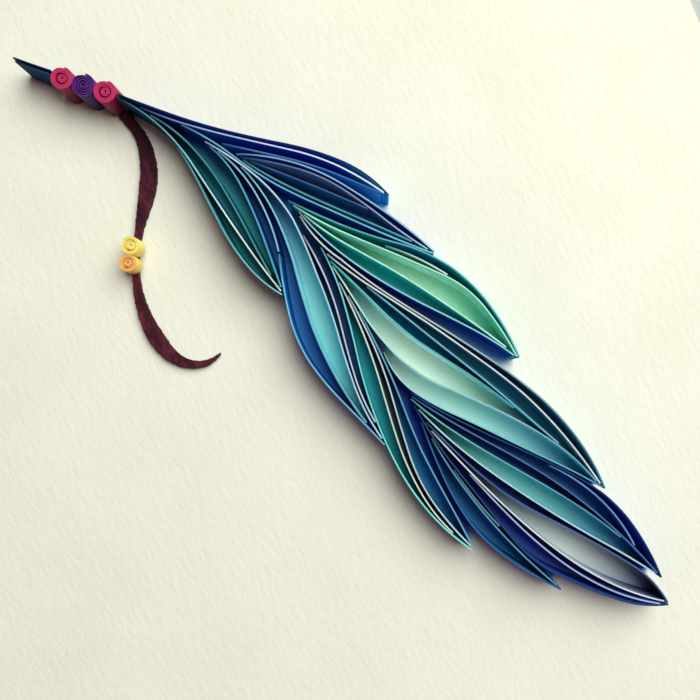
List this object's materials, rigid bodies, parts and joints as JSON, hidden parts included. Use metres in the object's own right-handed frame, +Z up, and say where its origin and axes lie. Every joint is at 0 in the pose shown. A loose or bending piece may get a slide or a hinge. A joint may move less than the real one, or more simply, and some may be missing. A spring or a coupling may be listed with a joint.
{
  "type": "quilled paper art",
  "caption": "Feather of paper strips stood on edge on a flat card sheet, with rolled paper coils on its quill and on a hanging lace.",
  "frame": {"origin": "middle of the card sheet's underside", "axes": "+Z up out of the card's face, +Y along the card's long side towards the quill's end, +X across the card to the right"},
  "size_m": [0.21, 0.297, 0.0075],
  "materials": {
    "white_card": "matt white card with a fine grain",
    "white_paper": "matt",
    "cream_paper": "matt",
    "light_blue_paper": "matt",
    "blue_paper": "matt",
    "navy_paper": "matt",
    "teal_paper": "matt",
    "green_paper": "matt",
    "pink_paper": "matt",
    "purple_paper": "matt",
    "yellow_paper": "matt",
    "orange_paper": "matt",
    "brown_suede": "brushed suede"
  },
  "bodies": {
    "root": {"card_sheet": "white_card", "end_leaf_lower_strip": "navy_paper", "end_leaf_second_strip": "light_blue_paper", "end_leaf_upper_strip": "navy_paper", "end_leaf_white_strip": "white_paper", "first_pink_coil_bead": "pink_paper", "left_leaf_1_blue_strip": "light_blue_paper", "left_leaf_1_green_strip": "green_paper", "left_leaf_1_outer_strip": "teal_paper", "left_leaf_1_quill_strip": "white_paper", "left_leaf_1_teal_strip": "teal_paper", "left_leaf_2_outer_strip": "blue_paper", "left_leaf_2_pale_strip": "teal_paper", "left_leaf_2_spine_strip": "white_paper", "left_leaf_2_violet_strip": "white_paper", "left_leaf_3_cream_strip": "cream_paper", "left_leaf_3_cyan_strip": "light_blue_paper", "left_leaf_3_outer_strip": "teal_paper", "left_leaf_3_white_strip": "white_paper", "left_leaf_4_outer_strip": "blue_paper", "left_leaf_4_pale_strip": "light_blue_paper", "left_leaf_4_second_strip": "light_blue_paper", "orange_coil_bead": "orange_paper", "purple_coil_bead": "purple_paper", "quill_end_lower_strip": "blue_paper", "quill_end_upper_strip": "navy_paper", "right_leaf_1_blue_strip": "blue_paper", "right_leaf_1_outer_strip": "navy_paper", "right_leaf_1_white_strip": "white_paper", "right_leaf_2_inner_strip": "navy_paper", "right_leaf_2_navy_strip": "navy_paper", "right_leaf_2_outer_strip": "blue_paper", "right_leaf_2_spine_strip": "light_blue_paper", "right_leaf_2_teal_strip": "teal_paper", "right_leaf_3_green_strip": "green_paper", "right_leaf_3_lower_strip": "light_blue_paper", "right_leaf_3_middle_strip": "green_paper", "right_leaf_3_outer_strip": "teal_paper", "right_leaf_3_white_strip": "white_paper", "right_leaf_4_cyan_strip": "light_blue_paper", "right_leaf_4_lower_strip": "light_blue_paper", "right_leaf_4_outer_strip": "white_paper", "right_leaf_4_pale_strip": "light_blue_paper", "right_leaf_4_teal_strip": "teal_paper", "right_leaf_4_white_strip": "white_paper", "right_leaf_5_inner_strip": "light_blue_paper", "right_leaf_5_navy_strip": "navy_paper", "right_leaf_5_outer_strip": "navy_paper", "right_leaf_5_teal_strip": "teal_paper", "right_leaf_5_white_strip": "white_paper", "second_pink_coil_bead": "pink_paper", "suede_lace": "brown_suede", "yellow_coil_bead": "yellow_paper"}
  },
  "joints": []
}
